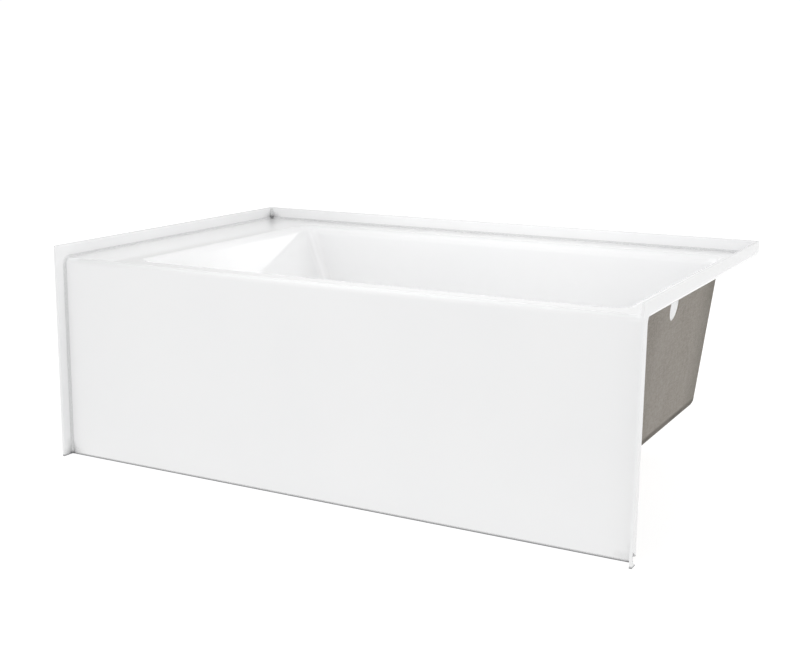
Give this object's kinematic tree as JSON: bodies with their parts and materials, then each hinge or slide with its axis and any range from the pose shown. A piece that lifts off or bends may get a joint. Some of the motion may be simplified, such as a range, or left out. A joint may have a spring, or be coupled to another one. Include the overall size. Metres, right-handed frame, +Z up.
{
  "type": "alcove bathtub",
  "caption": "Rectangular alcove bathtub in white acrylic with a plain integral skirt, tiling flanges, sloped backrest and levelling feet.",
  "frame": {"origin": "on the floor, below the centre of the tub's overall box", "axes": "+Z up, +X along the tub towards the drain end, the skirt towards -Y"},
  "size_m": [1.524, 0.968, 0.546],
  "materials": {
    "white_acrylic": "high gloss",
    "glass_fibre_laminate": "rough sprayed resin",
    "chipboard": "raw",
    "softwood": "sawn",
    "plywood": "raw",
    "galvanised_steel": "spangled zinc",
    "zinc_plated_steel": "bright zinc",
    "black_plastic": "moulded"
  },
  "bodies": {
    "tub": {"acrylic_shell": "white_acrylic", "base_board": "chipboard", "cross_rail_drain": "galvanised_steel", "cross_rail_head": "galvanised_steel", "deck_batten_back": "softwood", "deck_batten_front": "softwood", "deck_panel_head": "softwood", "fiberglass_backing": "glass_fibre_laminate", "lock_nut_drain_back": "zinc_plated_steel", "lock_nut_drain_front": "zinc_plated_steel", "lock_nut_head_back": "zinc_plated_steel", "lock_nut_head_front": "zinc_plated_steel", "rail_nut_drain_back": "zinc_plated_steel", "rail_nut_drain_front": "zinc_plated_steel", "rail_nut_head_back": "zinc_plated_steel", "rail_nut_head_front": "zinc_plated_steel", "rail_screws": "zinc_plated_steel", "skirt_brace_drain": "plywood", "skirt_brace_head": "plywood", "skirt_brace_middle": "plywood", "skirt_foot_rail": "softwood"},
    "pad_head_front": {"foot_pad_head_front": "black_plastic"},
    "stem_head_front": {"foot_stem_head_front": "zinc_plated_steel"},
    "pad_head_back": {"foot_pad_head_back": "black_plastic"},
    "stem_head_back": {"foot_stem_head_back": "zinc_plated_steel"},
    "pad_drain_front": {"foot_pad_drain_front": "black_plastic"},
    "stem_drain_front": {"foot_stem_drain_front": "zinc_plated_steel"},
    "pad_drain_back": {"foot_pad_drain_back": "black_plastic"},
    "stem_drain_back": {"foot_stem_drain_back": "zinc_plated_steel"}
  },
  "joints": [
    {"name": "pad_lift_head_front", "type": "slide", "parent": "tub", "child": "pad_head_front", "axis": [0, 0, -1], "range_m": [-0.006, 0.01]},
    {"name": "stem_turn_head_front", "type": "hinge", "parent": "pad_head_front", "child": "stem_head_front", "pos_m": [-0.3, -0.28781, 0.05], "axis": [0, 0, -1], "range_deg": [-1300, 2100]},
    {"name": "pad_lift_head_back", "type": "slide", "parent": "tub", "child": "pad_head_back", "axis": [0, 0, -1], "range_m": [-0.006, 0.01]},
    {"name": "stem_turn_head_back", "type": "hinge", "parent": "pad_head_back", "child": "stem_head_back", "pos_m": [-0.3, 0.29919, 0.05], "axis": [0, 0, -1], "range_deg": [-1300, 2100]},
    {"name": "pad_lift_drain_front", "type": "slide", "parent": "tub", "child": "pad_drain_front", "axis": [0, 0, -1], "range_m": [-0.006, 0.01]},
    {"name": "stem_turn_drain_front", "type": "hinge", "parent": "pad_drain_front", "child": "stem_drain_front", "pos_m": [0.4, -0.28781, 0.05], "axis": [0, 0, -1], "range_deg": [-1300, 2100]},
    {"name": "pad_lift_drain_back", "type": "slide", "parent": "tub", "child": "pad_drain_back", "axis": [0, 0, -1], "range_m": [-0.006, 0.01]},
    {"name": "stem_turn_drain_back", "type": "hinge", "parent": "pad_drain_back", "child": "stem_drain_back", "pos_m": [0.4, 0.29919, 0.05], "axis": [0, 0, -1], "range_deg": [-1300, 2100]}
  ],
  "couplings": [
    {"joint": "stem_turn_head_front", "follows": "pad_lift_head_front", "rad_per_m": 3590.4},
    {"joint": "stem_turn_head_back", "follows": "pad_lift_head_back", "rad_per_m": 3590.4},
    {"joint": "stem_turn_drain_front", "follows": "pad_lift_drain_front", "rad_per_m": 3590.4},
    {"joint": "stem_turn_drain_back", "follows": "pad_lift_drain_back", "rad_per_m": 3590.4}
  ]
}
